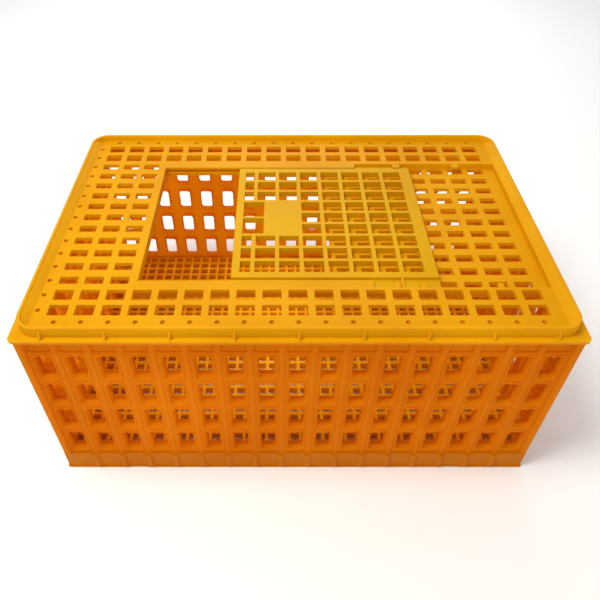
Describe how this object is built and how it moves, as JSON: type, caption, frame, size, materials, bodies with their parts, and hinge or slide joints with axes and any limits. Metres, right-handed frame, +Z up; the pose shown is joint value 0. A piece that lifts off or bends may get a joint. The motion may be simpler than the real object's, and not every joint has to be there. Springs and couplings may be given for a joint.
{
  "type": "poultry transport crate",
  "caption": "Ventilated plastic crate for live poultry, with window-grid walls, a mesh floor, a rimmed slatted cover and a sliding loading door.",
  "frame": {"origin": "centre of the underside of the floor tray's skirt", "axes": "+Z up, +X along the long side in the direction the door slides open, -Y towards the front wall"},
  "size_m": [0.75, 0.505, 0.33],
  "materials": {
    "yellow_plastic": "satin"
  },
  "bodies": {
    "crate": {"top_cover": "yellow_plastic", "front_wall": "yellow_plastic", "back_wall": "yellow_plastic", "left_wall": "yellow_plastic", "right_wall": "yellow_plastic", "floor_tray": "yellow_plastic"},
    "door": {"sliding_door": "yellow_plastic"}
  },
  "joints": [
    {"name": "door_slide", "type": "slide", "parent": "crate", "child": "door", "axis": [1, 0, 0], "range_m": [-0.129, 0.15]}
  ]
}
